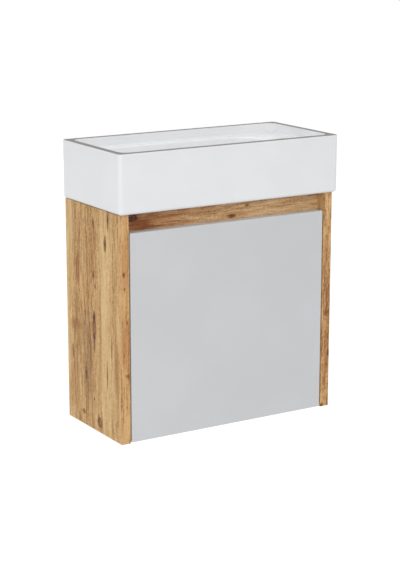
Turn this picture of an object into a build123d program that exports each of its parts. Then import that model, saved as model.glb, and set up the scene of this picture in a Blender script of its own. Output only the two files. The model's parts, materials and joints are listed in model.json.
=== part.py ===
"""Wall-hung cloakroom vanity unit with a ceramic basin, in millimetres.

+X is to the right seen from the front, the front faces -Y and +Z is up.
The wall is the plane y = 0. The origin is the centre of the four wall screws.
"""
from build123d import *
import math
import os

os.makedirs("parts", exist_ok=True)


def save(piece, name):
    """Label a finished piece and write its STEP file."""
    piece.label = name
    export_step(piece, f"parts/{name}.step")


# Basin outside
basin_w = 400.0
basin_d = 187.0
basin_h = 92.4
side_over = 4.5        # basin past the cabinet's sides
front_over = 9.5       # basin past the cabinet's front

# Cabinet
cab_w = basin_w - 2 * side_over
cab_d = basin_d - front_over
cab_h = 360.0          # side panel height
board = 16.0           # board thickness
edge_t = 1.0           # front edge band
zt = 46.0              # cabinet top above the wall screws
zb = zt - cab_h
mid = board / 2
xi = cab_w / 2 - board           # inner face of a side panel
yf = -cab_d                      # front plane

# Door
door_t = 16.0
door_gap = 2.0         # to each side panel
door_low = 1.0         # door bottom above the cabinet bottom
finger_gap = 29.0      # open slot over the door
door_h = cab_h - finger_gap - door_low
door_w = 2 * xi - 2 * door_gap
bumper_t = 1.0         # gap between door and carcase
y_in = yf + door_t + bumper_t    # front plane of the boards behind the door

# Basin inside
rim = 11.7             # rim width
seal_t = 1.0           # sealant bead under the basin
seal_w = 8.0
corner_r = 7.0         # outer upright corners
tray_deep = 16.5       # rim down to the tray
tray_r = 14.0
bowl_side = 8.3        # tray ledge at the back and front
floor_t = 15.9         # ceramic under the bowl
bowl_left = 21.0 - basin_w / 2           # bowl's left end
bowl_right = basin_w / 2 - 67.0          # bowl's right end, beside the tap deck
bowl_left_r = 38.0     # bowl's upright corners
bowl_right_r = 48.0
bowl_edge_r = 3.0      # round from the tray into the bowl
bowl_foot_r = 14.0     # round from the bowl's walls into its floor
bowl_draft = 6.0       # degrees
deck_t = 10.0          # ceramic under the tap
tap_x = basin_w / 2 - 39.0
tap_r = 17.5
pocket_in = 9.0        # bowl's end to the hollow under the deck
waste_x = (bowl_left + bowl_right) / 2
basin_z = zt + seal_t
top_z = basin_z + basin_h
tray_z = top_z - tray_deep
bowl_z = basin_z + floor_t
basin_y = -basin_d / 2

# Waste fitting, thread G 1 1/4
waste_hole_r = 23.0
tail_r = 20.95         # threaded tail below the locknut
collar_r = 21.3        # body through the basin and the locknut
neck_r = 20.0
tail_bore_r = 18.0
tail_len = 55.0        # below the basin
flange_r = 32.0
flange_t = 2.5
seat_r = 33.0
seat_deep = 3.0
stem_r = 4.0
running = 0.05         # radial clearance of moving fits

# Joinery
cam_r = 7.5
cam_h = 12.4
cam_in = 24.0          # board end to cam centre
bolt_in = 11.0         # cam bolt in the side panel
dowel_r = 4.0
dowel_side = 10.0
dowel_end = 20.0
play = 0.1             # bore radius over the fitting in it

# Rails and shelf
front_rail_h = 60.0
rear_rail_h = 90.0
low_rail_h = 60.0
shelf_up = 140.0       # shelf's underside above the cabinet bottom
rail_z = zt - front_rail_h
rear_z = zt - rear_rail_h
low_rail_top = zb + board + low_rail_h
shelf_z = zb + shelf_up
rear_y = -44.0         # front face of the upper rear rail
shelf_y = -30.0        # rear edge of the shelf
shelf_set = 10.5       # shelf's front edge behind the rail's front
shelf_d = shelf_y - y_in - shelf_set
pin_r = 2.5

# Hinges. u runs right from the left panel's inner face, v back from the front plane.
hinge_in = 70.0        # door's ends to the hinge centres
hinge_z = [zb + door_low + hinge_in, zb + door_low + door_h - hinge_in]
cup_r = 17.5
cup_deep = 11.5
cup_edge = 3.0         # door edge to cup
arm_pin = (34.6, 20.1)
cup_pin = (13.4, 11.5)
link_bow = 6.8
link_t = 2.4
link_h = 9.0
hinge_pin_r = 1.25
arm_h = 13.0
arm_t = 1.6


def hx(u):
    """x of a hinge point given from the left panel's inner face."""
    return -xi + u


def hy(v):
    """y of a hinge point given from the front plane."""
    return yf + v


def x_bore(x0, x1, y, z):
    """Plane and length of a bore along X from x0 to x1."""
    way = 1 if x1 > x0 else -1
    return Plane(origin=(x0, y, z), x_dir=(0, 1, 0), z_dir=(way, 0, 0)), abs(x1 - x0)


# Cam fittings as (y, z, mouth direction) and dowels as (y, z), the same on both sides
cam_front_y = y_in + 20.5
cam_back_y = -30.0
bottom_cams = [(cam_front_y, zb + mid, (0, 0, -1)), (cam_back_y, zb + mid, (0, 0, -1))]
bottom_dowels = [((cam_front_y + cam_back_y) / 2, zb + mid)]
front_cams = [(y_in + mid, zt - 42.0, (0, 1, 0))]
front_dowels = [(y_in + mid, zt - 15.0)]
rear_cams = [(rear_y + mid, rear_z + 15.0, (0, -1, 0))]
rear_dowels = [(rear_y + mid, zt - 10.0)]
low_cams = [(-mid, low_rail_top - 18.0, (0, -1, 0))]
low_dowels = [(-mid, zb + board + 14.0)]
all_cams = bottom_cams + front_cams + rear_cams + low_cams
all_dowels = bottom_dowels + front_dowels + rear_dowels + low_dowels

# Hanger positions in the upper rear corners
hang_z = [-4.0, 14.0]            # adjusting screws
hang_low = -22.0
hang_high = 38.0
hang_front = -26.0
hang_back = -8.0
hang_w = 16.0
hook_x = 8.5                     # hook centre from the panel's inner face
hang_screw_z = [-15.0, 27.0]
hang_screw_y = -22.0
access_r = 5.0
plate_w = 50.0
plate_in = 1.5                   # wall plate's edge from the side panel
wall_screw_x = xi - plate_in - 33.0
wall_screw_z = 12.0
wall_hole_r = 3.25

# Side panels, with blind bores for fittings that stay hidden from outside
shelf_pin_y = [shelf_y - 20.0, shelf_y - shelf_d + 20.0]


def side_panel(sign):
    """One side panel; sign is -1 on the left, where the hinges are."""
    inner = sign * xi
    outer = sign * cab_w / 2
    with BuildPart() as panel:
        with BuildSketch(Plane.XY.offset(zb)):
            with Locations(((inner + outer) / 2, (yf + edge_t) / 2)):
                Rectangle(board, cab_d - edge_t)
        extrude(amount=cab_h)
        bores = []
        for y, z, mouth in all_cams:
            bores.append((y, z, 3.0, bolt_in + 0.3))
        for y, z in all_dowels:
            bores.append((y, z, dowel_r + play, dowel_side + 0.3))
        for y in shelf_pin_y:
            bores.append((y, shelf_z - pin_r, pin_r + play, 9.0))
        for z in hang_screw_z:
            bores.append((hang_screw_y, z, 1.6, 10.5))
        if sign < 0:
            for z in hinge_z:
                for dz in (-16.0, 16.0):
                    bores.append((hy(66.0), z + dz, 2.5, 11.5))
        for y, z, r, deep in bores:
            plane, length = x_bore(inner, inner + sign * deep, y, z)
            with BuildSketch(plane):
                Circle(r)
            extrude(amount=length, mode=Mode.SUBTRACT)
    return panel.part


def edge_band(sign):
    """Front edge band of one side panel."""
    with BuildPart() as band:
        with BuildSketch(Plane.XY.offset(zb)):
            with Locations((sign * (xi + mid), yf + edge_t / 2)):
                Rectangle(board, edge_t)
        extrude(amount=cab_h)
        front = band.edges().filter_by(Axis.Z).sort_by(Axis.Y)[:2]
        fillet(front, radius=0.6)
    return band.part


save(side_panel(-1), "side_panel_left")
save(side_panel(1), "side_panel_right")
save(edge_band(-1), "edge_band_left")
save(edge_band(1), "edge_band_right")


def cross_board(y0, y1, z0, z1, cams, dowels, holes=()):
    """A board between the side panels, bored at both ends for its fittings."""
    with BuildPart() as piece:
        with BuildSketch(Plane.XY.offset(z0)):
            with Locations((0, (y0 + y1) / 2)):
                Rectangle(2 * xi, y1 - y0)
        extrude(amount=z1 - z0)
        for sign in (-1, 1):
            for y, z, mouth in cams:
                plane, length = x_bore(sign * xi, sign * (xi - cam_in), y, z)
                with BuildSketch(plane):
                    Circle(4.0)
                extrude(amount=length, mode=Mode.SUBTRACT)
                face = Vector(sign * (xi - cam_in), y, z) + Vector(*mouth) * mid
                down = Vector(*mouth) * -1
                with BuildSketch(Plane(origin=face, x_dir=(1, 0, 0), z_dir=down)):
                    Circle(cam_r + play)
                extrude(amount=cam_h + 0.3, mode=Mode.SUBTRACT)
            for y, z in dowels:
                plane, length = x_bore(sign * xi, sign * (xi - dowel_end - 0.3), y, z)
                with BuildSketch(plane):
                    Circle(dowel_r + play)
                extrude(amount=length, mode=Mode.SUBTRACT)
        for x, z, r in holes:
            start = Plane(origin=(x, y0, z), x_dir=(1, 0, 0), z_dir=(0, 1, 0))
            with BuildSketch(start):
                Circle(r)
            extrude(amount=y1 - y0, mode=Mode.SUBTRACT)
    return piece.part


access_holes = []
for sign in (-1, 1):
    for z in hang_z:
        access_holes.append((sign * (xi - hook_x), z, access_r))

save(cross_board(y_in, 0, zb, zb + board, bottom_cams, bottom_dowels), "bottom_panel")
save(cross_board(y_in, y_in + board, rail_z, zt, front_cams, front_dowels), "front_rail")
save(cross_board(rear_y, rear_y + board, rear_z, zt, rear_cams, rear_dowels, access_holes),
     "rear_top_rail")
save(cross_board(-board, 0, zb + board, low_rail_top, low_cams, low_dowels),
     "rear_bottom_rail")

# Shelf on four pins
with BuildPart() as shelf:
    with BuildSketch(Plane.XY.offset(shelf_z)):
        with Locations((0, shelf_y - shelf_d / 2)):
            Rectangle(2 * xi - 2.0, shelf_d)
    extrude(amount=board)
    chamfer(shelf.faces().sort_by(Axis.Y)[0].edges(), length=0.5)
save(shelf.part, "shelf")

with BuildPart() as shelf_pins:
    for sign in (-1, 1):
        for y in shelf_pin_y:
            plane, length = x_bore(sign * (xi + 8.5), sign * (xi - 9.0), y, shelf_z - pin_r)
            with BuildSketch(plane):
                Circle(pin_r)
            extrude(amount=length)
            plane, length = x_bore(sign * xi, sign * (xi - 1.5), y, shelf_z - pin_r)
            with BuildSketch(plane):
                with Locations((0, -0.5)):
                    Rectangle(7.0, 2 * pin_r - 1.0)
            extrude(amount=length)
save(shelf_pins.part, "shelf_pins")

# Dowels, cam locks and cam bolts that hold the boards together
with BuildPart() as dowels:
    for sign in (-1, 1):
        for y, z in all_dowels:
            plane, length = x_bore(sign * (xi + dowel_side), sign * (xi - dowel_end), y, z)
            with BuildSketch(plane):
                Circle(dowel_r)
            extrude(amount=length)
    chamfer(dowels.edges().filter_by(GeomType.CIRCLE), length=0.8)
save(dowels.part, "dowels")

with BuildPart() as cam_bolts:
    for sign in (-1, 1):
        for y, z, mouth in all_cams:
            for x0, x1, r in [
                (xi + bolt_in, xi, 2.9),
                (xi, xi - 3.0, 3.6),
                (xi - 3.0, xi - 17.0, 2.6),
                (xi - 17.0, xi - 21.0, 1.9),
                (xi - 21.0, xi - 24.5, 3.4),
            ]:
                plane, length = x_bore(sign * x0, sign * x1, y, z)
                with BuildSketch(plane):
                    Circle(r)
                extrude(amount=length)
save(cam_bolts.part, "cam_bolts")

with BuildPart() as cam_locks:
    for sign in (-1, 1):
        for y, z, mouth in all_cams:
            face = Vector(sign * (xi - cam_in), y, z) + Vector(*mouth) * mid
            down = Vector(*mouth) * -1
            top = Plane(origin=face, x_dir=(1, 0, 0), z_dir=down)
            with BuildSketch(top):
                Circle(cam_r)
            extrude(amount=cam_h)
            with BuildSketch(top):
                Rectangle(8.0, 1.4)
                Rectangle(1.4, 8.0)
            extrude(amount=2.0, mode=Mode.SUBTRACT)
            with BuildSketch(top.offset(mid - 4.1)):
                with Locations((sign * 3.4, 0)):
                    Rectangle(9.0, 8.2)
            extrude(amount=8.2, mode=Mode.SUBTRACT)
save(cam_locks.part, "cam_locks")

# Wall hangers: plastic housing, steel hook, two adjusting screws and two fixing screws
def hanger_housing(sign):
    """Housing on a side panel's inner face, open at the back and top for the hook."""
    x_mid = sign * (xi - hang_w / 2)
    x_hook = sign * (xi - hook_x)
    with BuildPart() as housing:
        with BuildSketch(Plane.XY.offset(hang_low)):
            with Locations((x_mid, (hang_front + hang_back) / 2)):
                Rectangle(hang_w, hang_back - hang_front)
        extrude(amount=hang_high - hang_low)
        fillet(housing.edges().filter_by(Axis.X).group_by(Axis.Y)[0], radius=3.0)
        with BuildSketch(Plane.XY.offset(hang_low + 5.0)):
            with Locations((x_hook, hang_back - 5.0)):
                Rectangle(5.0, 10.1)
        extrude(amount=hang_high - hang_low, mode=Mode.SUBTRACT)
        for z in hang_z:
            with BuildSketch(Plane(origin=(x_hook, hang_front - 1, z), x_dir=(1, 0, 0),
                                   z_dir=(0, 1, 0))):
                Circle(2.6)
            extrude(amount=10.0, mode=Mode.SUBTRACT)
        for z in hang_screw_z:
            plane, length = x_bore(sign * (xi - hang_w), sign * xi, hang_screw_y, z)
            with BuildSketch(plane):
                Circle(2.1)
            extrude(amount=length, mode=Mode.SUBTRACT)
            with BuildSketch(plane):
                Circle(4.1)
            extrude(amount=3.0, mode=Mode.SUBTRACT)
    return housing.part


def hanger_hook(sign):
    """Steel hook: a leg in the housing and a nose behind the wall plate's lip."""
    x0 = sign * (xi - hook_x)
    with BuildPart() as hook:
        with BuildSketch(Plane.YZ.offset(x0)):
            with BuildLine():
                Polyline((-16.0, -14.0), (-16.0, 36.0), (-2.2, 36.0), (-2.2, 24.0),
                         (-3.8, 24.0), (-3.8, 30.0), (-10.0, 30.0), (-10.0, -14.0),
                         close=True)
            make_face()
        extrude(amount=1.5, both=True)
        for z in hang_z:
            with BuildSketch(Plane(origin=(x0, -17.0, z), x_dir=(1, 0, 0), z_dir=(0, 1, 0))):
                Circle(1.0)
            extrude(amount=8.0, mode=Mode.SUBTRACT)
    return hook.part


def wall_plate(sign):
    """Plate screwed to the wall, with a raised lip for the hook."""
    x0 = sign * (xi - plate_in - plate_w / 2)
    with BuildPart() as plate:
        with BuildSketch(Plane.YZ.offset(x0)):
            with BuildLine():
                Polyline((0, -18.0), (0, 20.0), (-4.0, 20.0), (-4.0, 30.0), (-6.0, 30.0),
                         (-6.0, 18.0), (-2.0, 18.0), (-2.0, -18.0), close=True)
            make_face()
        extrude(amount=plate_w / 2, both=True)
        for z in (-wall_screw_z, wall_screw_z):
            with BuildSketch(Plane(origin=(sign * wall_screw_x, -3.0, z), x_dir=(1, 0, 0),
                                   z_dir=(0, 1, 0))):
                Circle(wall_hole_r)
            extrude(amount=3.0, mode=Mode.SUBTRACT)
    return plate.part


for sign, side in ((-1, "left"), (1, "right")):
    save(hanger_housing(sign), f"hanger_housing_{side}")
    save(hanger_hook(sign), f"hanger_hook_{side}")
    save(wall_plate(sign), f"wall_plate_{side}")

with BuildPart() as hanger_screws:
    for sign in (-1, 1):
        x0 = sign * (xi - hook_x)
        for z in hang_z:
            start = Plane(origin=(x0, hang_front - 1.5, z), x_dir=(1, 0, 0), z_dir=(0, 1, 0))
            with BuildSketch(start):
                Circle(4.0)
            extrude(amount=1.5)
            with BuildSketch(start):
                Circle(2.5)
            extrude(amount=11.4)
            with BuildSketch(start):
                Rectangle(5.0, 1.0)
                Rectangle(1.0, 5.0)
            extrude(amount=1.0, mode=Mode.SUBTRACT)
save(hanger_screws.part, "hanger_adjusting_screws")

with BuildPart() as hanger_fixings:
    for sign in (-1, 1):
        for z in hang_screw_z:
            plane, length = x_bore(sign * (xi - hang_w + 0.4), sign * (xi + 10.0),
                                   hang_screw_y, z)
            with BuildSketch(plane):
                Circle(3.9)
            extrude(amount=2.4)
            with BuildSketch(plane):
                Circle(1.5)
            extrude(amount=length)
            with BuildSketch(plane):
                Rectangle(4.5, 1.0)
                Rectangle(1.0, 4.5)
            extrude(amount=1.2, mode=Mode.SUBTRACT)
save(hanger_fixings.part, "hanger_fixing_screws")

# Sealant bead along the middle of the side panels and the upper rails
seal_across = 2 * (xi + mid)
seal_along = rear_y - y_in
with BuildPart() as seal:
    with BuildSketch(Plane.XY.offset(zt)):
        with Locations((0, (y_in + rear_y) / 2 + mid)):
            RectangleRounded(seal_across + seal_w, seal_along + seal_w, 5.0)
            RectangleRounded(seal_across - seal_w, seal_along - seal_w, 3.0,
                             mode=Mode.SUBTRACT)
    extrude(amount=seal_t)
save(seal.part, "basin_seal")

# Washbasin: a box with a shallow tray, a deeper bowl and a tap deck at the right
pocket_left = bowl_right + pocket_in
pocket_right = basin_w / 2 - rim - 0.3
with BuildPart() as basin:
    with BuildSketch(Plane.XY.offset(basin_z)):
        with Locations((0, basin_y)):
            RectangleRounded(basin_w, basin_d, corner_r)
    extrude(amount=basin_h)
    fillet(basin.faces().sort_by(Axis.Z)[0].edges(), radius=5.0)
    fillet(basin.faces().sort_by(Axis.Z)[-1].edges(), radius=1.2)
    with BuildSketch(Plane.XY.offset(top_z)):
        with Locations((0, basin_y)):
            RectangleRounded(basin_w - 2 * rim, basin_d - 2 * rim, tray_r)
    extrude(amount=-tray_deep, mode=Mode.SUBTRACT)
    tray_edges = basin.faces().filter_by(Plane.XY).group_by(Axis.Z)[-2].edges()
    fillet(tray_edges, radius=3.0)
    with BuildSketch(Plane.XY.offset(tray_z)) as mouth:
        with Locations(((bowl_left + bowl_right) / 2, basin_y)):
            Rectangle(bowl_right - bowl_left, basin_d - 2 * rim - 2 * bowl_side)
        fillet(mouth.vertices().group_by(Axis.X)[0], radius=bowl_left_r)
        fillet(mouth.vertices().group_by(Axis.X)[-1], radius=bowl_right_r)
    extrude(amount=bowl_z - tray_z, taper=bowl_draft, mode=Mode.SUBTRACT)
    tray_floor = basin.faces().filter_by(Plane.XY).group_by(Axis.Z)[-2].sort_by(Axis.Z)[-1]
    fillet(tray_floor.inner_wires()[0].edges(), radius=bowl_edge_r)
    floor = basin.faces().filter_by(Plane.XY).group_by(Axis.Z)[1].sort_by(Axis.Z)[0]
    fillet(floor.edges(), radius=bowl_foot_r)
    with BuildSketch(Plane.XY.offset(bowl_z)):
        with Locations((waste_x, basin_y)):
            Circle(seat_r)
    extrude(amount=-seat_deep, mode=Mode.SUBTRACT)
    with BuildSketch(Plane.XY.offset(bowl_z)):
        with Locations((waste_x, basin_y)):
            Circle(waste_hole_r)
    extrude(amount=-30.0, mode=Mode.SUBTRACT)
    with BuildSketch(Plane.XY.offset(basin_z)):
        with Locations(((pocket_left + pocket_right) / 2, basin_y)):
            RectangleRounded(pocket_right - pocket_left, basin_d - 2 * rim, 8.0)
    extrude(amount=tray_z - deck_t - basin_z, mode=Mode.SUBTRACT)
    with BuildSketch(Plane.XY.offset(tray_z)):
        with Locations((tap_x, basin_y)):
            Circle(tap_r)
    extrude(amount=-deck_t - 2.0, mode=Mode.SUBTRACT)
save(basin.part, "washbasin")

# Waste fitting under the bowl
seat_z = bowl_z - seat_deep
nut_z = basin_z - 4.0
nut_h = 10.0
with BuildPart() as waste_body:
    with BuildSketch(Plane.XY.offset(seat_z + 1.0)):
        with Locations((waste_x, basin_y)):
            Circle(flange_r)
    extrude(amount=flange_t)
    fillet(waste_body.faces().sort_by(Axis.Z)[-1].edges(), radius=1.2)
    with BuildSketch(Plane.XY.offset(seat_z + 1.0)):
        with Locations((waste_x, basin_y)):
            Circle(collar_r)
    extrude(amount=nut_z - nut_h - 1.0 - seat_z - 1.0)
    with BuildSketch(Plane.XY.offset(nut_z - nut_h - 1.0)):
        with Locations((waste_x, basin_y)):
            Circle(neck_r)
    extrude(amount=-3.0)
    with BuildSketch(Plane.XY.offset(basin_z - tail_len)):
        with Locations((waste_x, basin_y)):
            Circle(tail_r)
    extrude(amount=nut_z - nut_h - 4.0 - basin_z + tail_len)
    with BuildSketch(Plane.XY.offset(basin_z - tail_len)):
        with Locations((waste_x, basin_y)):
            Circle(tail_bore_r)
    extrude(amount=100.0, mode=Mode.SUBTRACT)
    guide_z = basin_z - 20.0
    with BuildSketch(Plane.XY.offset(guide_z)):
        with Locations((waste_x, basin_y)):
            Rectangle(2 * tail_bore_r + 1.0, 3.0)
            Rectangle(3.0, 2 * tail_bore_r + 1.0)
            Circle(stem_r + 2.0)
            Circle(stem_r + running, mode=Mode.SUBTRACT)
    extrude(amount=14.0)
save(waste_body.part, "waste_body")

plug_r = 30.0
dome_h = 3.5
dome_r = (plug_r**2 + dome_h**2) / (2 * dome_h)      # sphere centred on the waste axis
cap_z = seat_z + 1.0 + flange_t + 0.3
dome_mid_z = cap_z + 5.0 - dome_r + math.sqrt(dome_r**2 - (plug_r / 2) ** 2)
with BuildPart() as waste_plug:
    with BuildSketch(Plane.XZ.offset(-basin_y)):
        with BuildLine():
            Line((waste_x, cap_z + 5.0), (waste_x, guide_z - 6.0))
            Line((waste_x, guide_z - 6.0), (waste_x + stem_r, guide_z - 6.0))
            Line((waste_x + stem_r, guide_z - 6.0), (waste_x + stem_r, cap_z - 4.0))
            Line((waste_x + stem_r, cap_z - 4.0), (waste_x + 16.0, cap_z - 4.0))
            Line((waste_x + 16.0, cap_z - 4.0), (waste_x + 16.0, cap_z))
            Line((waste_x + 16.0, cap_z), (waste_x + plug_r, cap_z))
            Line((waste_x + plug_r, cap_z), (waste_x + plug_r, cap_z + 1.5))
            ThreePointArc((waste_x + plug_r, cap_z + 1.5), (waste_x + plug_r / 2, dome_mid_z),
                          (waste_x, cap_z + 5.0))
        make_face()
    revolve(axis=Axis((waste_x, basin_y, 0), (0, 0, 1)))
save(waste_plug.part, "waste_plug")


def ring(z0, z1, r_out, r_in):
    """Ring round the waste axis."""
    with BuildPart() as piece:
        with BuildSketch(Plane.XY.offset(z0)):
            with Locations((waste_x, basin_y)):
                Circle(r_out)
                Circle(r_in, mode=Mode.SUBTRACT)
        extrude(amount=z1 - z0)
    return piece.part


save(ring(seat_z, seat_z + 1.0, 31.0, collar_r + 0.3), "waste_upper_gasket")
save(ring(nut_z, basin_z, 30.0, collar_r + 0.3), "waste_lower_gasket")
with BuildPart() as waste_nut:
    with BuildSketch(Plane.XY.offset(nut_z - nut_h)):
        with Locations((waste_x, basin_y)):
            RegularPolygon(30.0, 6)
            Circle(collar_r + running, mode=Mode.SUBTRACT)
    extrude(amount=nut_h)
save(waste_nut.part, "waste_locknut")

# Door panel with two cup bores in its back
door_x0 = -xi + door_gap
cup_u = door_gap + cup_edge + cup_r
door_back = yf + door_t
with BuildPart() as door:
    with BuildSketch(Plane.XY.offset(zb + door_low)):
        with Locations((0, yf + door_t / 2)):
            Rectangle(door_w, door_t)
    extrude(amount=door_h)
    fillet(door.edges(), radius=0.8)
    for z in hinge_z:
        back = Plane(origin=(hx(cup_u), door_back, z), x_dir=(1, 0, 0), z_dir=(0, -1, 0))
        with BuildSketch(back):
            Circle(cup_r + play)
        extrude(amount=cup_deep, mode=Mode.SUBTRACT)
        for dz in (-24.0, 24.0):
            screw = Plane(origin=(hx(cup_u + 6.0), door_back, z + dz), x_dir=(1, 0, 0),
                          z_dir=(0, -1, 0))
            with BuildSketch(screw):
                Circle(1.6)
            extrude(amount=11.0, mode=Mode.SUBTRACT)
save(door.part, "door_panel")

with BuildPart() as bumpers:
    for z in (zb + 8.0, rail_z + 14.0):
        start = Plane(origin=(door_w / 2 - 12.0, door_back, z), x_dir=(1, 0, 0),
                      z_dir=(0, 1, 0))
        with BuildSketch(start):
            Circle(4.0)
        extrude(amount=bumper_t)
save(bumpers.part, "door_bumpers")


def hinge_cup(z):
    """Sheet cup sunk in the door, with a flange and two ears on the door's back."""
    back = Plane(origin=(hx(cup_u), door_back, z), x_dir=(1, 0, 0), z_dir=(0, -1, 0))
    with BuildPart() as cup:
        with BuildSketch(back.offset(-1.0)):
            Circle(cup_r + 2.0)
            with Locations((3.0, 0)):
                RectangleRounded(22.0, 58.0, 5.0)
        extrude(amount=1.0)
        with BuildSketch(back):
            Circle(cup_r - play)
        extrude(amount=cup_deep - 0.2)
        with BuildSketch(back.offset(-1.0)):
            Circle(cup_r - 0.9)
        extrude(amount=cup_deep, mode=Mode.SUBTRACT)
        for dz in (-24.0, 24.0):
            with BuildSketch(back.offset(-1.0)):
                with Locations((6.0, dz)):
                    Circle(1.9)
            extrude(amount=1.0, mode=Mode.SUBTRACT)
        with BuildSketch(Plane(origin=(hx(cup_pin[0]), hy(cup_pin[1]), z - 20.0))):
            Circle(hinge_pin_r + 0.03)
        extrude(amount=40.0, mode=Mode.SUBTRACT)
    return cup.part


bow = Vector(cup_pin[0] - arm_pin[0], cup_pin[1] - arm_pin[1])
side = Vector(-bow.Y, bow.X).normalized() * link_bow
link_mid = (arm_pin[0] + bow.X / 2 + side.X, arm_pin[1] + bow.Y / 2 + side.Y)


def hinge_link(z):
    """Bowed link between the arm pin and the cup pin."""
    ends = [(hx(arm_pin[0]), hy(arm_pin[1])), (hx(cup_pin[0]), hy(cup_pin[1]))]
    middle = (hx(link_mid[0]), hy(link_mid[1]))
    with BuildPart() as link:
        with BuildSketch(Plane.XY.offset(z - link_h / 2)):
            with BuildLine(Plane.XY.offset(z - link_h / 2)):
                path = ThreePointArc(ends[0], middle, ends[1])
            trace(path, line_width=link_t)
            with Locations(*ends):
                Circle(2.6)
            with Locations(*ends):
                Circle(hinge_pin_r + running, mode=Mode.SUBTRACT)
        extrude(amount=link_h)
    return link.part


def hinge_arm(z):
    """Cranked arm from the arm pin back to the mounting plate."""
    nose = (hx(arm_pin[0]), hy(arm_pin[1]))
    with BuildPart() as arm:
        with BuildSketch(Plane.XY.offset(z - arm_h / 2)):
            with BuildLine(Plane.XY.offset(z - arm_h / 2)):
                path = Polyline(nose, (hx(23.0), hy(33.0)), (hx(10.4), hy(45.0)),
                                (hx(10.4), hy(52.0)))
            trace(path, line_width=4.4)
            with Locations(nose):
                Circle(3.4)
        extrude(amount=arm_h)
        with BuildSketch(Plane.XY.offset(z - arm_h / 2)):
            with Locations((hx(10.0), hy(68.0))):
                Rectangle(arm_t, 36.0)
        extrude(amount=arm_h)
        for low in (z - arm_h / 2, z + arm_h / 2 - 1.4):
            with BuildSketch(Plane.XY.offset(low)):
                with Locations((hx(6.5), hy(68.0))):
                    Rectangle(7.8, 36.0)
            extrude(amount=1.4)
        with BuildSketch(Plane.XY.offset(z - link_h / 2 - 0.2)):
            with Locations(nose):
                Circle(9.0)
        extrude(amount=link_h + 0.4, mode=Mode.SUBTRACT)
        with BuildSketch(Plane.XY.offset(z - arm_h / 2)):
            with Locations(nose):
                Circle(hinge_pin_r + 0.03)
        extrude(amount=arm_h, mode=Mode.SUBTRACT)
        plane, length = x_bore(hx(20.0), hx(5.0), hy(72.0), z)
        with BuildSketch(plane):
            Circle(2.6)
        extrude(amount=length, mode=Mode.SUBTRACT)
    return arm.part


def hinge_plate(z):
    """Cross plate on the side panel, with a ridge inside the arm."""
    with BuildPart() as plate:
        plane, length = x_bore(hx(0), hx(2.0), hy(68.0), z)
        with BuildSketch(plane):
            with Locations((-2.0, 0)):
                RectangleRounded(14.0, 50.0, 4.0)
            RectangleRounded(36.0, 9.4, 2.0)
        extrude(amount=length)
        plane, length = x_bore(hx(0), hx(8.8), hy(69.0), z)
        with BuildSketch(plane):
            Rectangle(32.0, 9.4)
        extrude(amount=length)
        for dz in (-16.0, 16.0):
            plane, length = x_bore(hx(0), hx(2.0), hy(66.0), z + dz)
            with BuildSketch(plane):
                Circle(2.55)
            extrude(amount=length, mode=Mode.SUBTRACT)
        plane, length = x_bore(hx(8.8), hx(1.0), hy(72.0), z)
        with BuildSketch(plane):
            Circle(2.5)
        extrude(amount=length, mode=Mode.SUBTRACT)
    return plate.part


for z, end in zip(hinge_z, ("lower", "upper")):
    save(hinge_cup(z), f"hinge_cup_{end}")
    save(hinge_link(z), f"hinge_link_{end}")
    save(hinge_arm(z), f"hinge_arm_{end}")
    save(hinge_plate(z), f"hinge_plate_{end}")

# Hinge pins: the arm pins stay with the cabinet, the cup pins with the door
with BuildPart() as arm_pins:
    for z in hinge_z:
        with BuildSketch(Plane(origin=(hx(arm_pin[0]), hy(arm_pin[1]), z - arm_h / 2))):
            Circle(hinge_pin_r)
        extrude(amount=arm_h)
save(arm_pins.part, "hinge_arm_pins")

with BuildPart() as cup_pins:
    for z in hinge_z:
        with BuildSketch(Plane(origin=(hx(cup_pin[0]), hy(cup_pin[1]), z - 13.8))):
            Circle(hinge_pin_r)
        extrude(amount=27.6)
save(cup_pins.part, "hinge_cup_pins")

with BuildPart() as plate_screws:
    for z in hinge_z:
        for dz in (-16.0, 16.0):
            plane, length = x_bore(hx(4.0), hx(-11.0), hy(66.0), z + dz)
            with BuildSketch(plane):
                Circle(4.5)
            extrude(amount=2.0)
            with BuildSketch(plane):
                Circle(2.4)
            extrude(amount=length)
            with BuildSketch(plane):
                Rectangle(5.0, 1.0)
                Rectangle(1.0, 5.0)
            extrude(amount=1.2, mode=Mode.SUBTRACT)
save(plate_screws.part, "hinge_plate_screws")

with BuildPart() as arm_screws:
    for z in hinge_z:
        plane, length = x_bore(hx(13.2), hx(1.5), hy(72.0), z)
        with BuildSketch(plane):
            Circle(4.4)
        extrude(amount=2.4)
        with BuildSketch(plane):
            Circle(2.4)
        extrude(amount=length)
        with BuildSketch(plane):
            Rectangle(5.0, 1.0)
            Rectangle(1.0, 5.0)
        extrude(amount=1.2, mode=Mode.SUBTRACT)
save(arm_screws.part, "hinge_arm_screws")

with BuildPart() as cup_screws:
    for z in hinge_z:
        for dz in (-24.0, 24.0):
            start = Plane(origin=(hx(cup_u + 6.0), door_back + 2.6, z + dz),
                          x_dir=(1, 0, 0), z_dir=(0, -1, 0))
            with BuildSketch(start):
                Circle(3.2)
            extrude(amount=1.6)
            with BuildSketch(start):
                Circle(1.5)
            extrude(amount=12.0)
            with BuildSketch(start):
                Rectangle(3.6, 0.8)
                Rectangle(0.8, 3.6)
            extrude(amount=0.8, mode=Mode.SUBTRACT)
save(cup_screws.part, "hinge_cup_screws")
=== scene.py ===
"""A wall-hung cloakroom vanity unit: ceramic basin, oak-decor carcase, one grey inset door.

Metres, in the CAD's frame: +X right seen from the front, the front faces -Y, the wall is y = 0.
"""
import json
import math

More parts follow.
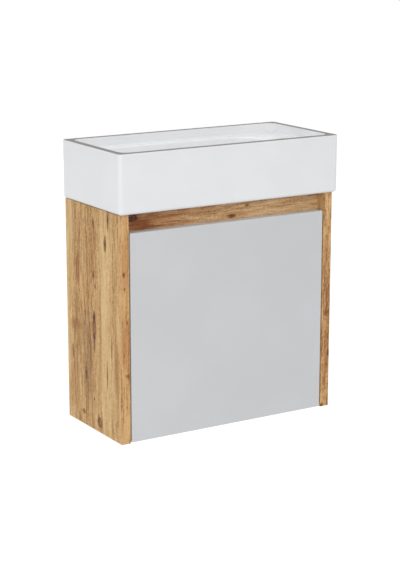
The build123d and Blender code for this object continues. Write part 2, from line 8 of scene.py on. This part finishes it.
import bmesh
import bpy
import numpy as np
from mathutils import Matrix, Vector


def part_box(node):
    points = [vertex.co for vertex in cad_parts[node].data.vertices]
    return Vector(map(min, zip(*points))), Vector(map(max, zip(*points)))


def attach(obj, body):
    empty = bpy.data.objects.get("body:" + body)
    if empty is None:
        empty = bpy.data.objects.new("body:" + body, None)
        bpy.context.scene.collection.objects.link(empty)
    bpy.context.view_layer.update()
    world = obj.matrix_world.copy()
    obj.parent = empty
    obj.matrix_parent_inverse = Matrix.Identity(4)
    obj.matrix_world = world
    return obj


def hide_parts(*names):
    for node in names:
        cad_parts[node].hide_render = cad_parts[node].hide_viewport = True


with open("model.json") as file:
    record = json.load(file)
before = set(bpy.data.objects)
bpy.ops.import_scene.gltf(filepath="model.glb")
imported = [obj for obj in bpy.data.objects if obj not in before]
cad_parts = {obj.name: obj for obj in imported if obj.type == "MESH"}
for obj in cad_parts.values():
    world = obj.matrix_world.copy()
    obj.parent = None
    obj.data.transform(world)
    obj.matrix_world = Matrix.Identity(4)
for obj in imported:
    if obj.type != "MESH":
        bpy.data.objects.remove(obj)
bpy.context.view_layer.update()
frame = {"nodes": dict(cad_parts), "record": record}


# Side panels. 16 mm chipboard faced with an oak-decor melamine film, its grain upright. The
# film is printed with staves of different tone, wavy grain, fine pores, grey and brown stains
# and a few black knots and slits, and pressed with a shallow matt grain.
def linear(red, green, blue):
    """Linear colour of an 8-bit sRGB one: the sRGB curve, undone."""
    out = []
    for value in (red, green, blue):
        c = value / 255.0
        out.append(c / 12.92 if c <= 0.04045 else ((c + 0.055) / 1.055) ** 2.4)
    return (*out, 1.0)


def fill(tree, made, sockets):
    """Links or sets each input socket of a node."""
    for key, value in sockets.items():
        if isinstance(value, bpy.types.NodeSocket):
            tree.links.new(value, made.inputs[key])
        else:
            made.inputs[key].default_value = value
    return made


def put(tree, kind, sockets=None, **settings):
    """Adds a node, sets its properties, then fills its inputs."""
    made = tree.nodes.new("ShaderNode" + kind)
    for name, value in settings.items():
        setattr(made, name, value)
    return fill(tree, made, sockets or {})


def maths(tree, operation, a, b=0.0, c=0.0):
    """One Math node's output."""
    return put(tree, "Math", {0: a, 1: b, 2: c}, operation=operation).outputs[0]


def vectors(tree, operation, a, b=(0.0, 0.0, 0.0)):
    """One Vector Math node's vector output."""
    return put(tree, "VectorMath", {0: a, 1: b}, operation=operation).outputs[0]


def blend(tree, kind, factor, first, second):
    """A colour Mix node's output."""
    node = put(tree, "Mix", {"Factor": factor, 6: first, 7: second},
               data_type="RGBA", blend_type=kind)
    return node.outputs[2]


def spread(tree, value, low, high, to_low=0.0, to_high=1.0):
    """A smooth ramp from to_low at low to to_high at high."""
    node = put(tree, "MapRange", {"Value": value, "From Min": low, "From Max": high,
                                  "To Min": to_low, "To Max": to_high},
               interpolation_type="SMOOTHSTEP")
    return node.outputs["Result"]


def noise(tree, vector, scale, detail=2.0, roughness=0.5, distortion=0.0):
    """Noise from 0 to 1 over a vector stretched by scale, in cycles per metre."""
    stretched = vectors(tree, "MULTIPLY", vector, scale)
    return put(tree, "TexNoise", {"Vector": stretched, "Scale": 1.0, "Detail": detail,
                                  "Roughness": roughness, "Distortion": distortion}).outputs["Fac"]


def group(name, inputs, outputs):
    """An empty node group with its sockets, its input node and its output node."""
    tree = bpy.data.node_groups.new(name, "ShaderNodeTree")
    for socket, kind, value in inputs:
        made = tree.interface.new_socket(socket, in_out="INPUT", socket_type="NodeSocket" + kind)
        if value is not None:
            made.default_value = value
    for socket, kind in outputs:
        tree.interface.new_socket(socket, in_out="OUTPUT", socket_type="NodeSocket" + kind)
    return tree, tree.nodes.new("NodeGroupInput").outputs, tree.nodes.new("NodeGroupOutput").inputs


def use(tree, what, sockets):
    """Places a node group and fills its inputs."""
    made = tree.nodes.new("ShaderNodeGroup")
    made.node_tree = what
    return fill(tree, made, sockets).outputs


def oak_print():
    """Oak decor. The grain runs along Z of the vector. Two noises warp X + Y, the place across
    the grain; noises stretched along Z then give flames, rings, streaks and fibres over it, and
    white noise by stave sets each stave's tone. Their weighted sum runs from Light through
    Middle to Dark, and fine dark pores lie over it."""
    tree, given, result = group(
        "oak print",
        [("Vector", "Vector", None), ("Stave", "Float", 0.031), ("Seed", "Float", 0.0),
         ("Light", "Color", linear(222, 189, 135)), ("Middle", "Color", linear(203, 163, 107)),
         ("Dark", "Color", linear(156, 105, 47)), ("Contrast", "Float", 1.0)],
        [("Color", "Color"), ("Height", "Float")])
    seed = put(tree, "CombineXYZ", {0: given["Seed"], 1: given["Seed"], 2: given["Seed"]})
    place = vectors(tree, "ADD", given["Vector"], seed.outputs[0])
    sway = noise(tree, place, (17.0, 17.0, 4.0))
    flick = noise(tree, place, (70.0, 70.0, 17.0))
    sway_by, flick_by = 0.018, 0.0045
    axes = put(tree, "SeparateXYZ", {0: place}).outputs
    straight = maths(tree, "ADD", axes[0], axes[1])
    across = maths(tree, "MULTIPLY_ADD", sway, sway_by, straight)
    across = maths(tree, "MULTIPLY_ADD", flick, flick_by, across)
    bent = put(tree, "CombineXYZ", {0: across, 2: axes[2]}).outputs[0]
    count = maths(tree, "FLOOR", maths(tree, "DIVIDE", straight, given["Stave"]))
    stave = put(tree, "TexWhiteNoise", {"W": count}, noise_dimensions="1D").outputs["Value"]
    flames = noise(tree, bent, (38.0, 1.0, 1.6))
    rings = noise(tree, bent, (130.0, 1.0, 9.0), 3.0, 0.6, 0.8)
    streaks = noise(tree, bent, (330.0, 1.0, 18.0), 4.0, 0.7)
    fibres = noise(tree, bent, (900.0, 1.0, 60.0), 2.0)
    clouds = noise(tree, place, (28.0, 28.0, 10.0), 3.0)
    mottle = noise(tree, place, (380.0, 380.0, 260.0))
    weights = [(stave, 0.34), (flames, 0.8), (rings, 1.3), (streaks, 1.9), (fibres, 1.1),
               (clouds, 0.7), (mottle, 1.0)]
    total = 0.0
    for layer, weight in weights:
        total = maths(tree, "MULTIPLY_ADD", maths(tree, "SUBTRACT", layer, 0.5), weight, total)
    total = maths(tree, "MULTIPLY_ADD", total, given["Contrast"], 0.5)
    low = put(tree, "MapRange", {"Value": total, "From Min": 0.0, "From Max": 0.5}).outputs[0]
    high = put(tree, "MapRange", {"Value": total, "From Min": 0.5, "From Max": 1.0}).outputs[0]
    colour = blend(tree, "MIX", low, given["Light"], given["Middle"])
    colour = blend(tree, "MIX", high, colour, given["Dark"])
    pore = spread(tree, noise(tree, bent, (1100.0, 1.0, 130.0), 1.0), 0.62, 0.74)
    pore_brown, pore_tone, pore_depth = linear(122, 86, 56), 0.45, -0.6
    colour = blend(tree, "MULTIPLY", maths(tree, "MULTIPLY", pore, pore_tone), colour, pore_brown)
    tree.links.new(colour, result["Color"])
    height = maths(tree, "MULTIPLY_ADD", pore, pore_depth, streaks)
    tree.links.new(height, result["Height"])
    return tree


def grain_bend():
    """Grain that flows round a knot: the vector is drawn towards Centre by Push times the scaled
    offset times e to the minus its length squared, so lines near the knot spread apart."""
    tree, given, result = group(
        "grain bend",
        [("Vector", "Vector", None), ("Print", "Vector", None), ("Centre", "Vector", None),
         ("Reach", "Vector", None), ("Push", "Float", 0.003)],
        [("Print", "Vector")])
    scaled = vectors(tree, "DIVIDE", vectors(tree, "SUBTRACT", given["Vector"], given["Centre"]),
                     given["Reach"])
    far = put(tree, "VectorMath", {0: scaled}, operation="LENGTH").outputs["Value"]
    fall = maths(tree, "EXPONENT", maths(tree, "MULTIPLY", maths(tree, "MULTIPLY", far, far), -1.0))
    pull = maths(tree, "MULTIPLY", fall, maths(tree, "MULTIPLY", given["Push"], -1.0))
    shift = put(tree, "VectorMath", {0: scaled, "Scale": pull}, operation="SCALE").outputs[0]
    tree.links.new(vectors(tree, "ADD", given["Print"], shift), result["Print"])
    return tree


def stain_print():
    """A soft stain that keeps the grain: an ellipse of Size round Centre, its edge broken by
    noise that follows Grain, mixes the film's colour with Tint times the film by Depth."""
    tree, given, result = group(
        "stain print",
        [("Color", "Color", None), ("Vector", "Vector", None), ("Centre", "Vector", None),
         ("Size", "Vector", None), ("Grain", "Vector", None), ("Tint", "Color", None),
         ("Depth", "Float", 0.6)],
        [("Color", "Color")])
    offset = vectors(tree, "SUBTRACT", given["Vector"], given["Centre"])
    far = put(tree, "VectorMath", {0: vectors(tree, "DIVIDE", offset, given["Size"])},
              operation="LENGTH").outputs["Value"]
    broken = noise(tree, given["Grain"], (170.0, 170.0, 22.0), 4.0, 0.7)
    broken_by, bare_at, full_at = 2.0, 1.25, 0.35
    far = maths(tree, "SUBTRACT", far, broken_by / 2)
    far = maths(tree, "MULTIPLY_ADD", broken, broken_by, far)
    mask = maths(tree, "MULTIPLY", spread(tree, far, bare_at, full_at), given["Depth"])
    tree.links.new(blend(tree, "MULTIPLY", mask, given["Color"], given["Tint"]), result["Color"])
    return tree


def knot_print():
    """A knot or slit: distance from Centre in units of Size, made ragged by noise, gives a
    black core, a thin dark ring and a narrow brown halo round them. Of each pair of values,
    core_radii and so on, the first is where the mark ends and the second where it is full."""
    tree, given, result = group(
        "knot print",
        [("Color", "Color", None), ("Vector", "Vector", None), ("Centre", "Vector", None),
         ("Size", "Vector", None), ("Core", "Float", 1.0), ("Ring", "Float", 0.5)],
        [("Color", "Color")])
    offset = vectors(tree, "SUBTRACT", given["Vector"], given["Centre"])
    scaled = vectors(tree, "DIVIDE", offset, given["Size"])
    ragged = put(tree, "TexNoise", {"Vector": scaled, "Scale": 1.3, "Detail": 3.0}).outputs["Fac"]
    ragged_by, ring_at = 1.2, 1.55
    core_radii, ring_radii, halo_radii = (1.05, 0.7), (0.42, 0.12), (2.9, 1.1)
    core_black, ring_brown = linear(62, 40, 26), linear(140, 104, 76)
    halo_brown = linear(206, 170, 128)
    far = put(tree, "VectorMath", {0: scaled}, operation="LENGTH").outputs["Value"]
    far = maths(tree, "SUBTRACT", far, ragged_by / 2)
    far = maths(tree, "MULTIPLY_ADD", ragged, ragged_by, far)
    core = maths(tree, "MULTIPLY", spread(tree, far, *core_radii), given["Core"])
    band = maths(tree, "ABSOLUTE", maths(tree, "SUBTRACT", far, ring_at))
    ring = maths(tree, "MULTIPLY", spread(tree, band, *ring_radii), given["Ring"])
    halo = maths(tree, "MULTIPLY", spread(tree, far, *halo_radii), given["Ring"])
    colour = blend(tree, "MULTIPLY", halo, given["Color"], halo_brown)
    colour = blend(tree, "MULTIPLY", ring, colour, ring_brown)
    colour = blend(tree, "MIX", core, colour, core_black)
    tree.links.new(colour, result["Color"])
    return tree


oak = oak_print()
bend = grain_bend()
stain = stain_print()
knot = knot_print()


def surface(name, rough, **constants):
    """A new material: its tree, its Principled node and its Object coordinates."""
    material = bpy.data.materials.new(name)
    material.use_nodes = True
    tree = material.node_tree
    shader = tree.nodes["Principled BSDF"]
    shader.inputs["Roughness"].default_value = rough
    for key, value in constants.items():
        shader.inputs[key.replace("_", " ")].default_value = value
    place = tree.nodes.new("ShaderNodeTexCoord").outputs["Object"]
    return material, tree, shader, place


def bump(tree, shader, height, strength, distance):
    """Feeds a height into the shader's normal."""
    node = put(tree, "Bump", {"Height": height, "Strength": strength, "Distance": distance})
    tree.links.new(node.outputs["Normal"], shader.inputs["Normal"])


def oak_board(name, along, seed, knots=(), stains=(), **print_values):
    """Oak decor with its grain along Z or X. Knots are (centre, half sizes, core, ring), stains
    (centre, half sizes, tint, depth), both in metres. A knot with a strong ring bends the
    grain round it."""
    matt, matt_relief = 0.56, -0.12
    strong_ring, bend_reach, bend_push = 0.7, 3.0, 1.6
    material, tree, shader, place = surface(name, matt, IOR=1.4)
    vector = place
    for centre, size, core, ring in knots:
        if ring > strong_ring:
            reach = tuple(bend_reach * half for half in size)
            vector = use(tree, bend, {"Vector": place, "Print": vector, "Centre": centre,
                                      "Reach": reach, "Push": bend_push * min(size)})[0]
    if along == "X":
        turn = (0.0, math.radians(-90.0), 0.0)
        vector = put(tree, "Mapping", {"Vector": vector, "Rotation": turn}).outputs[0]
    film = use(tree, oak, {"Vector": vector, "Seed": seed, **print_values})
    colour = film["Color"]
    for centre, size, tint, depth in stains:
        colour = use(tree, stain, {"Color": colour, "Vector": place, "Centre": centre,
                                   "Size": size, "Grain": vector, "Tint": tint,
                                   "Depth": depth})[0]
    for centre, size, core, ring in knots:
        colour = use(tree, knot, {"Color": colour, "Vector": place, "Centre": centre,
                                  "Size": size, "Core": core, "Ring": ring})[0]
    tree.links.new(colour, shader.inputs["Base Color"])
    tree.links.new(maths(tree, "MULTIPLY_ADD", film["Height"], matt_relief, matt),
                   shader.inputs["Roughness"])
    bump(tree, shader, film["Height"], 0.3, 0.0002)
    return material


def dress(nodes, material):
    """Gives CAD nodes a material."""
    for name in nodes:
        mesh = frame["nodes"][name].data
        mesh.materials.clear()
        mesh.materials.append(material)


through = 0.1  # a mark's half size through the board in metres, far more than the board


def on_side(x, *marks):
    """Knots or stains on a face of constant x, as (y, z, half y, half z) in mm and the mark's
    own two values: core and ring, or tint and depth."""
    return [((x, y / 1000, z / 1000), (through, wide / 1000, high / 1000), first, second)
            for y, z, wide, high, first, second in marks]


def on_front(y, *marks):
    """The same on a face of constant y, as (x, z, half x, half z) in mm and the two values."""
    return [((x / 1000, y, z / 1000), (wide / 1000, through, high / 1000), first, second)
            for x, z, wide, high, first, second in marks]


outer_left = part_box("side_panel_left")[0][0]
left_knots = on_side(
    outer_left,
    (-140.3, 33.6, 1.9, 8.5, 1.0, 0.6), (-92.6, 21.0, 1.8, 4.5, 0.95, 0.65),
    (-130.9, -5.5, 2.3, 6.5, 1.0, 0.8), (-90.9, -61.1, 1.5, 3.6, 1.0, 0.55),
    (-97.0, -78.3, 1.3, 2.2, 0.9, 0.5), (-92.0, -128.0, 2.3, 5.0, 1.0, 0.65),
    (-92.0, -146.0, 2.8, 11.0, 0.15, 0.95), (-91.5, -170.0, 1.6, 9.0, 0.55, 0.5),
    (-133.0, -212.4, 1.2, 13.0, 0.95, 0.5), (-88.6, -263.3, 1.2, 1.8, 1.0, 0.4),
    (-106.1, -297.5, 3.6, 4.2, 0.1, 0.95), (-102.5, -292.0, 1.6, 4.0, 0.8, 0.4),
    (-62.3, -226.6, 1.8, 5.5, 1.0, 0.6), (-17.8, -199.9, 2.0, 6.0, 0.3, 0.6),
    (-148.6, -166.8, 1.0, 9.0, 0.5, 0.5), (-52.0, -293.0, 3.0, 2.2, 0.7, 0.6),
)
brown = linear(210, 176, 142)
grey = linear(206, 200, 192)
left_stains = on_side(
    outer_left,
    (-66.0, -195.0, 17.0, 90.0, grey, 0.75), (-38.0, -62.0, 8.0, 26.0, brown, 0.9),
    (-26.0, -155.0, 14.0, 14.0, brown, 0.8), (-163.0, -200.0, 7.0, 80.0, brown, 0.7),
    (-30.0, 5.0, 24.0, 45.0, grey, 0.25), (-112.0, -190.0, 5.0, 80.0, brown, 0.4),
    (-20.0, -260.0, 16.0, 50.0, brown, 0.5),
)
dress(["side_panel_left"], oak_board("oak decor left panel", "Z", 3.1, left_knots, left_stains))

outer_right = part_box("side_panel_right")[1][0]
right_knots = on_side(
    outer_right,
    (-48.0, 12.0, 1.6, 5.0, 0.9, 0.6), (-120.0, -58.0, 2.6, 6.0, 0.85, 0.8),
    (-76.0, -131.0, 1.2, 8.0, 0.9, 0.5), (-140.0, -222.0, 3.6, 8.0, 0.35, 0.95),
    (-33.0, -247.0, 1.4, 3.0, 0.95, 0.5),
)
right_stains = on_side(
    outer_right, (-95.0, -120.0, 16.0, 110.0, grey, 0.7), (-30.0, -90.0, 9.0, 60.0, brown, 0.7),
    (-150.0, -40.0, 12.0, 50.0, brown, 0.6),
)
dress(["side_panel_right"],
      oak_board("oak decor right panel", "Z", 7.7, right_knots, right_stains))


# Front edge bands. A 1 mm strip glued over the raw front edge of each side panel, printed
# like the board but a little redder, the right one lighter, with short flecks and pin knots.
band_print = {"Light": linear(212, 170, 117), "Middle": linear(191, 146, 94),
              "Dark": linear(146, 97, 50), "Stave": 0.02, "Contrast": 1.45}
band_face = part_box("edge_band_left")[0][1]
left_band_knots = on_front(
    band_face,
    (-189.0, -45.5, 1.4, 2.4, 0.95, 0.5), (-188.0, -67.8, 1.0, 1.5, 0.9, 0.4),
    (-184.0, -120.0, 1.2, 1.6, 0.6, 0.4), (-185.0, -205.0, 1.3, 1.6, 0.6, 0.5),
)
left_band_stains = on_front(
    band_face, (-187.0, -150.0, 9.0, 60.0, brown, 0.6), (-187.0, -30.0, 9.0, 50.0, brown, 0.5),
)
dress(["edge_band_left"], oak_board("oak edging left", "Z", 11.3, left_band_knots,
                                    left_band_stains, **band_print))

lighter_print = {**band_print, "Light": linear(220, 179, 127), "Middle": linear(200, 156, 104)}
right_band_knots = on_front(
    band_face, (194.5, -222.4, 1.8, 3.4, 0.7, 0.7), (188.0, -155.0, 1.6, 2.6, 0.4, 0.7),
    (181.0, -312.5, 2.6, 2.6, 0.8, 0.6),
)
right_band_stains = on_front(
    band_face, (190.0, -190.0, 10.0, 90.0, brown, 0.35), (184.0, -60.0, 5.0, 40.0, brown, 0.5),
)
dress(["edge_band_right"], oak_board("oak edging right", "Z", 15.9, right_band_knots,
                                     right_band_stains, **lighter_print))


# Front rail. The same board with its grain across, set back behind the door's plane, where
# it shows through the finger gap. It has a ring knot at its left end and a long fine check.
rail_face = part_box("front_rail")[0][1]
rail_knots = on_front(
    rail_face, (-166.0, 37.0, 5.5, 3.2, 1.0, 1.0), (42.9, 36.5, 2.6, 1.3, 1.0, 0.5),
    (14.4, 21.8, 3.6, 1.6, 0.85, 0.8), (-120.0, 20.4, 17.0, 0.6, 0.6, 0.3),
    (-88.0, 24.6, 14.0, 0.5, 0.5, 0.3), (105.8, 28.8, 12.0, 0.7, 0.5, 0.4),
)
dark_brown = linear(184, 148, 112)
rail_stains = on_front(
    rail_face,
    (-152.0, 26.0, 34.0, 20.0, dark_brown, 1.0), (20.0, 24.0, 30.0, 6.0, brown, 0.5),
    (-60.0, 36.0, 60.0, 6.0, brown, 0.5), (-125.0, 24.0, 62.0, 26.0, brown, 0.7),
)
dress(["front_rail"], oak_board("oak decor rail", "X", 5.2, rail_knots, rail_stains,
                                Light=linear(227, 191, 144), Middle=linear(206, 165, 118),
                                Dark=linear(152, 108, 68), Stave=0.025, Contrast=1.1))


# Inner boards. The bottom, the shelf and the two rear rails, cut from the same decor board
# with the grain across. Cams and dowels join bottom and rails to the side panels, and the
# shelf lies on four pins.
dress(["bottom_panel", "rear_top_rail", "rear_bottom_rail", "shelf"],
      oak_board("oak decor boards", "X", 9.4))


# Door. A 16 mm MDF panel with eased edges, sprayed light grey in a satin lacquer that has a
# very faint orange peel. Two cup hinges carry it at the left.
satin, satin_spread = 0.36, 0.05
pale_tone, paler_tone = linear(202, 203, 205), linear(205, 206, 208)
door_paint, tree, shader, place = surface("light grey satin lacquer", satin, IOR=1.4)
peel = noise(tree, place, (420.0, 420.0, 420.0), 1.0)
cloud = noise(tree, place, (9.0, 9.0, 9.0))
paint = blend(tree, "MIX", spread(tree, cloud, 0.3, 0.7), pale_tone, paler_tone)
tree.links.new(paint, shader.inputs["Base Color"])
tree.links.new(maths(tree, "MULTIPLY_ADD", cloud, satin_spread, satin),
               shader.inputs["Roughness"])
bump(tree, shader, peel, 0.05, 0.0001)
dress(["door_panel"], door_paint)


# Washbasin. Slip-cast vitreous china with a white gloss glaze. The flat top of its thin rim
# is matt and painted a taupe grey as shade. Its mesh is the cast body's with rounded normals.
def smoothed(node, sharp_degrees=38.0):
    """A copy of a CAD node with its loose triangles merged. Edges that turn by more than
    sharp_degrees stay sharp, and normals weighted by face area keep the flats flat."""
    mesh = frame["nodes"][node].data.copy()
    mesh.name = node + "_skin"
    work = bmesh.new()
    work.from_mesh(mesh)
    bmesh.ops.remove_doubles(work, verts=work.verts, dist=1e-6)
    for edge in work.edges:
        if len(edge.link_faces) == 2:
            edge.smooth = edge.calc_face_angle() < math.radians(sharp_degrees)
    for face in work.faces:
        face.smooth = True
    work.to_mesh(mesh)
    work.free()
    piece = bpy.data.objects.new(node + "_skin", mesh)
    bpy.context.collection.objects.link(piece)
    weighted = piece.modifiers.new("weighted normals", "WEIGHTED_NORMAL")
    weighted.keep_sharp = True
    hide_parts(node)
    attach(piece, [b for b, nodes in frame["record"]["behaviour"]["bodies"].items()
                    if node in nodes][0])
    return piece


basin = smoothed("washbasin")
gloss, rim_matt = 0.1, 0.8
white_tone, whiter_tone = linear(229, 230, 231), linear(232, 233, 234)
# A taupe grey painted on the white rim's flat top as shade.
rim_painted_shade = linear(132, 127, 124)
glaze, tree, shader, place = surface("white glaze", gloss, IOR=1.5)
rim_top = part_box("washbasin")[1][2]
rim_shade_starts, rim_shade_full = rim_top - 0.0007, rim_top - 0.0003
height = put(tree, "SeparateXYZ", {0: place}).outputs[2]
normal = tree.nodes.new("ShaderNodeNewGeometry").outputs["Normal"]
upward = put(tree, "SeparateXYZ", {0: normal}).outputs[2]
# Mask of the rim's flat top, by height and by facing up: where the painted shade goes.
rim_shade_mask = maths(tree, "MULTIPLY", spread(tree, height, rim_shade_starts, rim_shade_full),
               spread(tree, upward, 0.7, 0.9))
cloud = noise(tree, place, (14.0, 14.0, 14.0), 3.0)
china = blend(tree, "MIX", spread(tree, cloud, 0.3, 0.7), white_tone, whiter_tone)
# Painted shade: the rim's flat top is coloured taupe grey to stand for the shade on it.
china = blend(tree, "MIX", rim_shade_mask, china, rim_painted_shade)
tree.links.new(china, shader.inputs["Base Color"])
tree.links.new(maths(tree, "MULTIPLY_ADD", rim_shade_mask, rim_matt - gloss, gloss),
               shader.inputs["Roughness"])
ripple = noise(tree, place, (30.0, 30.0, 30.0), 1.0)
bump(tree, shader, ripple, 0.04, 0.0006)
basin.data.materials.clear()
basin.data.materials.append(glaze)


# Soft parts. A bead of pale sanitary silicone beds the basin on the carcase, black rubber
# gaskets seal the waste in its hole, and clear bumpers are stuck to the door's back.
def soft(name, colour, rough, scale=300.0):
    """Rubber, silicone or moulded plastic: one colour with a fine mottle and a slight grain."""
    material, tree, shader, place = surface(name, rough)
    speck = noise(tree, place, (scale, scale, scale))
    darker = 0.86
    shade = (*(darker * part for part in colour[:3]), 1.0)
    tree.links.new(blend(tree, "MIX", speck, shade, colour), shader.inputs["Base Color"])
    bump(tree, shader, speck, 0.15, 0.0002)
    return material


dress(["basin_seal"], soft("pale silicone", linear(196, 196, 194), 0.45))
dress(["waste_upper_gasket", "waste_lower_gasket"], soft("black gasket", linear(46, 46, 48), 0.6))
dress(["door_bumpers"], soft("clear bumper", linear(206, 210, 214), 0.25))


# Metal fittings. Zinc-plated steel screws, pins, hooks, plates and cams, hinges bent from
# nickel-plated sheet, a chrome-plated waste and its turned brass locknut.
def metal(name, colour, rough, brushed=(900.0, 900.0, 60.0), streak=0.10):
    """Plated metal: fine drawn streaks vary its roughness and tone."""
    material, tree, shader, place = surface(name, rough, Metallic=1.0)
    lines = noise(tree, place, brushed, 3.0)
    darker = 0.82
    shade = (*(darker * part for part in colour[:3]), 1.0)
    tree.links.new(blend(tree, "MIX", lines, shade, colour), shader.inputs["Base Color"])
    tree.links.new(maths(tree, "MULTIPLY_ADD", lines, streak, rough - streak / 2),
                   shader.inputs["Roughness"])
    bump(tree, shader, lines, 0.04, 0.0001)
    return material


dress(["shelf_pins", "cam_bolts", "cam_locks", "hanger_hook_left", "hanger_hook_right",
       "wall_plate_left", "wall_plate_right", "hanger_adjusting_screws", "hanger_fixing_screws",
       "hinge_arm_pins", "hinge_plate_screws", "hinge_arm_screws", "hinge_cup_pins",
       "hinge_cup_screws"], metal("bright zinc", linear(196, 198, 202), 0.36))
dress(["hinge_arm_lower", "hinge_arm_upper", "hinge_plate_lower", "hinge_plate_upper",
       "hinge_cup_lower", "hinge_cup_upper", "hinge_link_lower", "hinge_link_upper"],
      metal("nickel sheet", linear(204, 201, 194), 0.27))
dress(["waste_body", "waste_plug"],
      metal("chrome", linear(226, 227, 230), 0.08, brushed=(60.0, 60.0, 60.0), streak=0.04))
dress(["waste_locknut"],
      metal("turned brass", linear(206, 176, 108), 0.3, brushed=(60.0, 60.0, 1400.0)))


# Dowels and hanger housings. The dowels are turned beech, pressed into the boards' ends. The
# housings are moulded in white plastic and screwed to the side panels, and each holds a steel
# hook and two adjusting screws.
dress(["dowels"], oak_board("beech", "X", 2.0, Contrast=0.5, Stave=0.004,
                            Light=linear(222, 190, 150), Middle=linear(210, 174, 132),
                            Dark=linear(190, 150, 108)))
dress(["hanger_housing_left", "hanger_housing_right"],
      soft("white moulded plastic", linear(226, 226, 224), 0.42, scale=500.0))


# Studio. A mid grey floor 0.64 m under the unit, a surround that is dim at the horizon,
# brightest half-way up and dimmer again overhead, and two broad soft lamps 0.3 m above the
# basin. Camera, glossy and transmission rays meet plain white in place of floor and surround.
def sees_white(tree):
    """1 for camera, glossy and transmission rays, 0 for the rest."""
    path = tree.nodes.new("ShaderNodeLightPath").outputs
    either = maths(tree, "MAXIMUM", path["Is Camera Ray"], path["Is Glossy Ray"])
    return maths(tree, "MAXIMUM", either, path["Is Transmission Ray"])


floor_mesh = bpy.data.meshes.new("studio floor")
reach, low = 6.0, -0.95
floor_mesh.from_pydata([(-reach, -reach, low), (reach, -reach, low), (reach, reach, low),
                        (-reach, reach, low)], [], [(0, 1, 2, 3)])
floor = bpy.data.objects.new("studio floor", floor_mesh)
bpy.context.collection.objects.link(floor)
floor_grey, floor_glow, glow_share = 0.6, 1.32, 0.7
floor_paint, tree, shader = surface("studio floor", 0.9)[:3]
shader.inputs["Base Color"].default_value = (floor_grey, floor_grey, floor_grey, 1.0)
white = put(tree, "Emission", {"Color": (1.0, 1.0, 1.0, 1.0), "Strength": floor_glow}).outputs[0]
seen = maths(tree, "MULTIPLY", sees_white(tree), glow_share)
shown = put(tree, "MixShader", {0: seen, 1: shader.outputs[0], 2: white}).outputs[0]
tree.links.new(shown, tree.nodes["Material Output"].inputs["Surface"])
floor_mesh.materials.append(floor_paint)

world = bpy.data.worlds.new("studio")
bpy.context.scene.world = world
world.use_nodes = True
sky = world.node_tree
at_horizon, at_brightest, overhead_share = 0.29, 1.36, 0.62
view = sky.nodes.new("ShaderNodeTexCoord").outputs["Generated"]
climb = put(sky, "SeparateXYZ", {0: view}).outputs[2]
ambient = sky.nodes["Background"]
ambient.inputs["Color"].default_value = (1.0, 1.0, 1.0, 1.0)
level = spread(sky, climb, 0.12, 0.5, at_horizon, at_brightest)
level = maths(sky, "MULTIPLY", level, spread(sky, climb, 0.6, 0.95, 1.0, overhead_share))
sky.links.new(level, ambient.inputs["Strength"])
plain = put(sky, "Background", {"Color": (1.0, 1.0, 1.0, 1.0), "Strength": 1.0}).outputs[0]
shown = put(sky, "MixShader", {0: sees_white(sky), 1: ambient.outputs[0], 2: plain}).outputs[0]
sky.links.new(shown, sky.nodes["World Output"].inputs["Surface"])


def lamp(name, place, aim, size, watts, colour):
    """A square area lamp at place, facing aim."""
    light = bpy.data.lights.new(name, "AREA")
    light.size = size
    light.energy = watts
    light.color = colour
    made = bpy.data.objects.new(name, light)
    bpy.context.collection.objects.link(made)
    made.location = place
    way = np.array(aim) - np.array(place)
    flat = math.hypot(way[0], way[1])
    made.rotation_euler = (math.atan2(flat, -way[2]), 0.0, math.atan2(-way[0], way[1]))


middle = (0.0, -0.1, -0.1)
lamp("left", (-2.75, -1.1, 0.42), middle, size=1.6, watts=4.8, colour=(0.72, 0.88, 1.0))
lamp("front", (-1.25, -2.05, 0.45), middle, size=1.4, watts=13.2, colour=(1.0, 0.995, 0.985))


# Camera. Place, yaw, pitch and focal length come from a pinhole camera fitted to the photo's
# edges. The sensor's long side, 36 mm, covers the picture's height.
focal_px, picture_px, sensor = 1610.0, 570.0, 36.0
pitch, yaw = -13.45, -31.48
camera = bpy.data.cameras.new("camera")
camera.lens = focal_px / picture_px * sensor
camera.sensor_width = sensor
camera.clip_end = 50.0
eye = bpy.data.objects.new("camera", camera)
bpy.context.collection.objects.link(eye)
eye.location = (-1.324, -2.251, 0.504)
eye.rotation_euler = (math.radians(90.0 + pitch), 0.0, math.radians(yaw))
bpy.context.scene.camera = eye
bpy.context.scene.view_settings.view_transform = "Standard"
